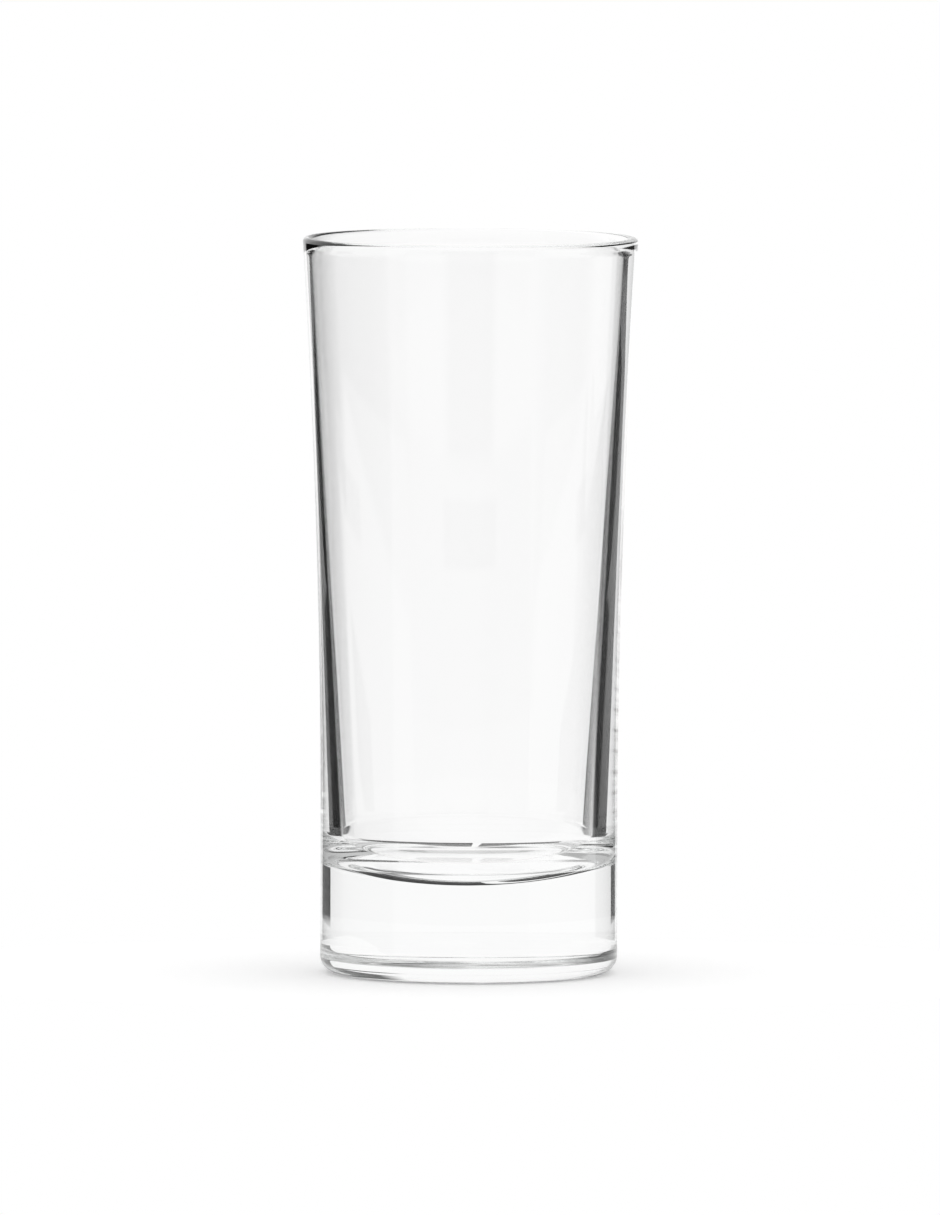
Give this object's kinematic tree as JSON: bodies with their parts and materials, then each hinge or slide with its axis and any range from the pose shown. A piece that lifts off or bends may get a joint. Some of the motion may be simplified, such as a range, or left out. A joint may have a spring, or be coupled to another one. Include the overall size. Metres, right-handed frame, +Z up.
{
  "type": "water glass",
  "caption": "Tall round highball water glass in clear pressed glass, with a gently flared wall, a fire-polished open rim and a heavy solid base, for holding a drink.",
  "frame": {"origin": "centre of the underside, on the surface that the glass stands on", "axes": "+Z up the axis of the glass towards its open rim; the form is round, so X and Y are free"},
  "size_m": [0.0636, 0.0636, 0.14],
  "materials": {
    "clear_glass": "fire-polished, clear and smooth"
  },
  "bodies": {
    "root": {"tumbler": "clear_glass"}
  },
  "joints": []
}
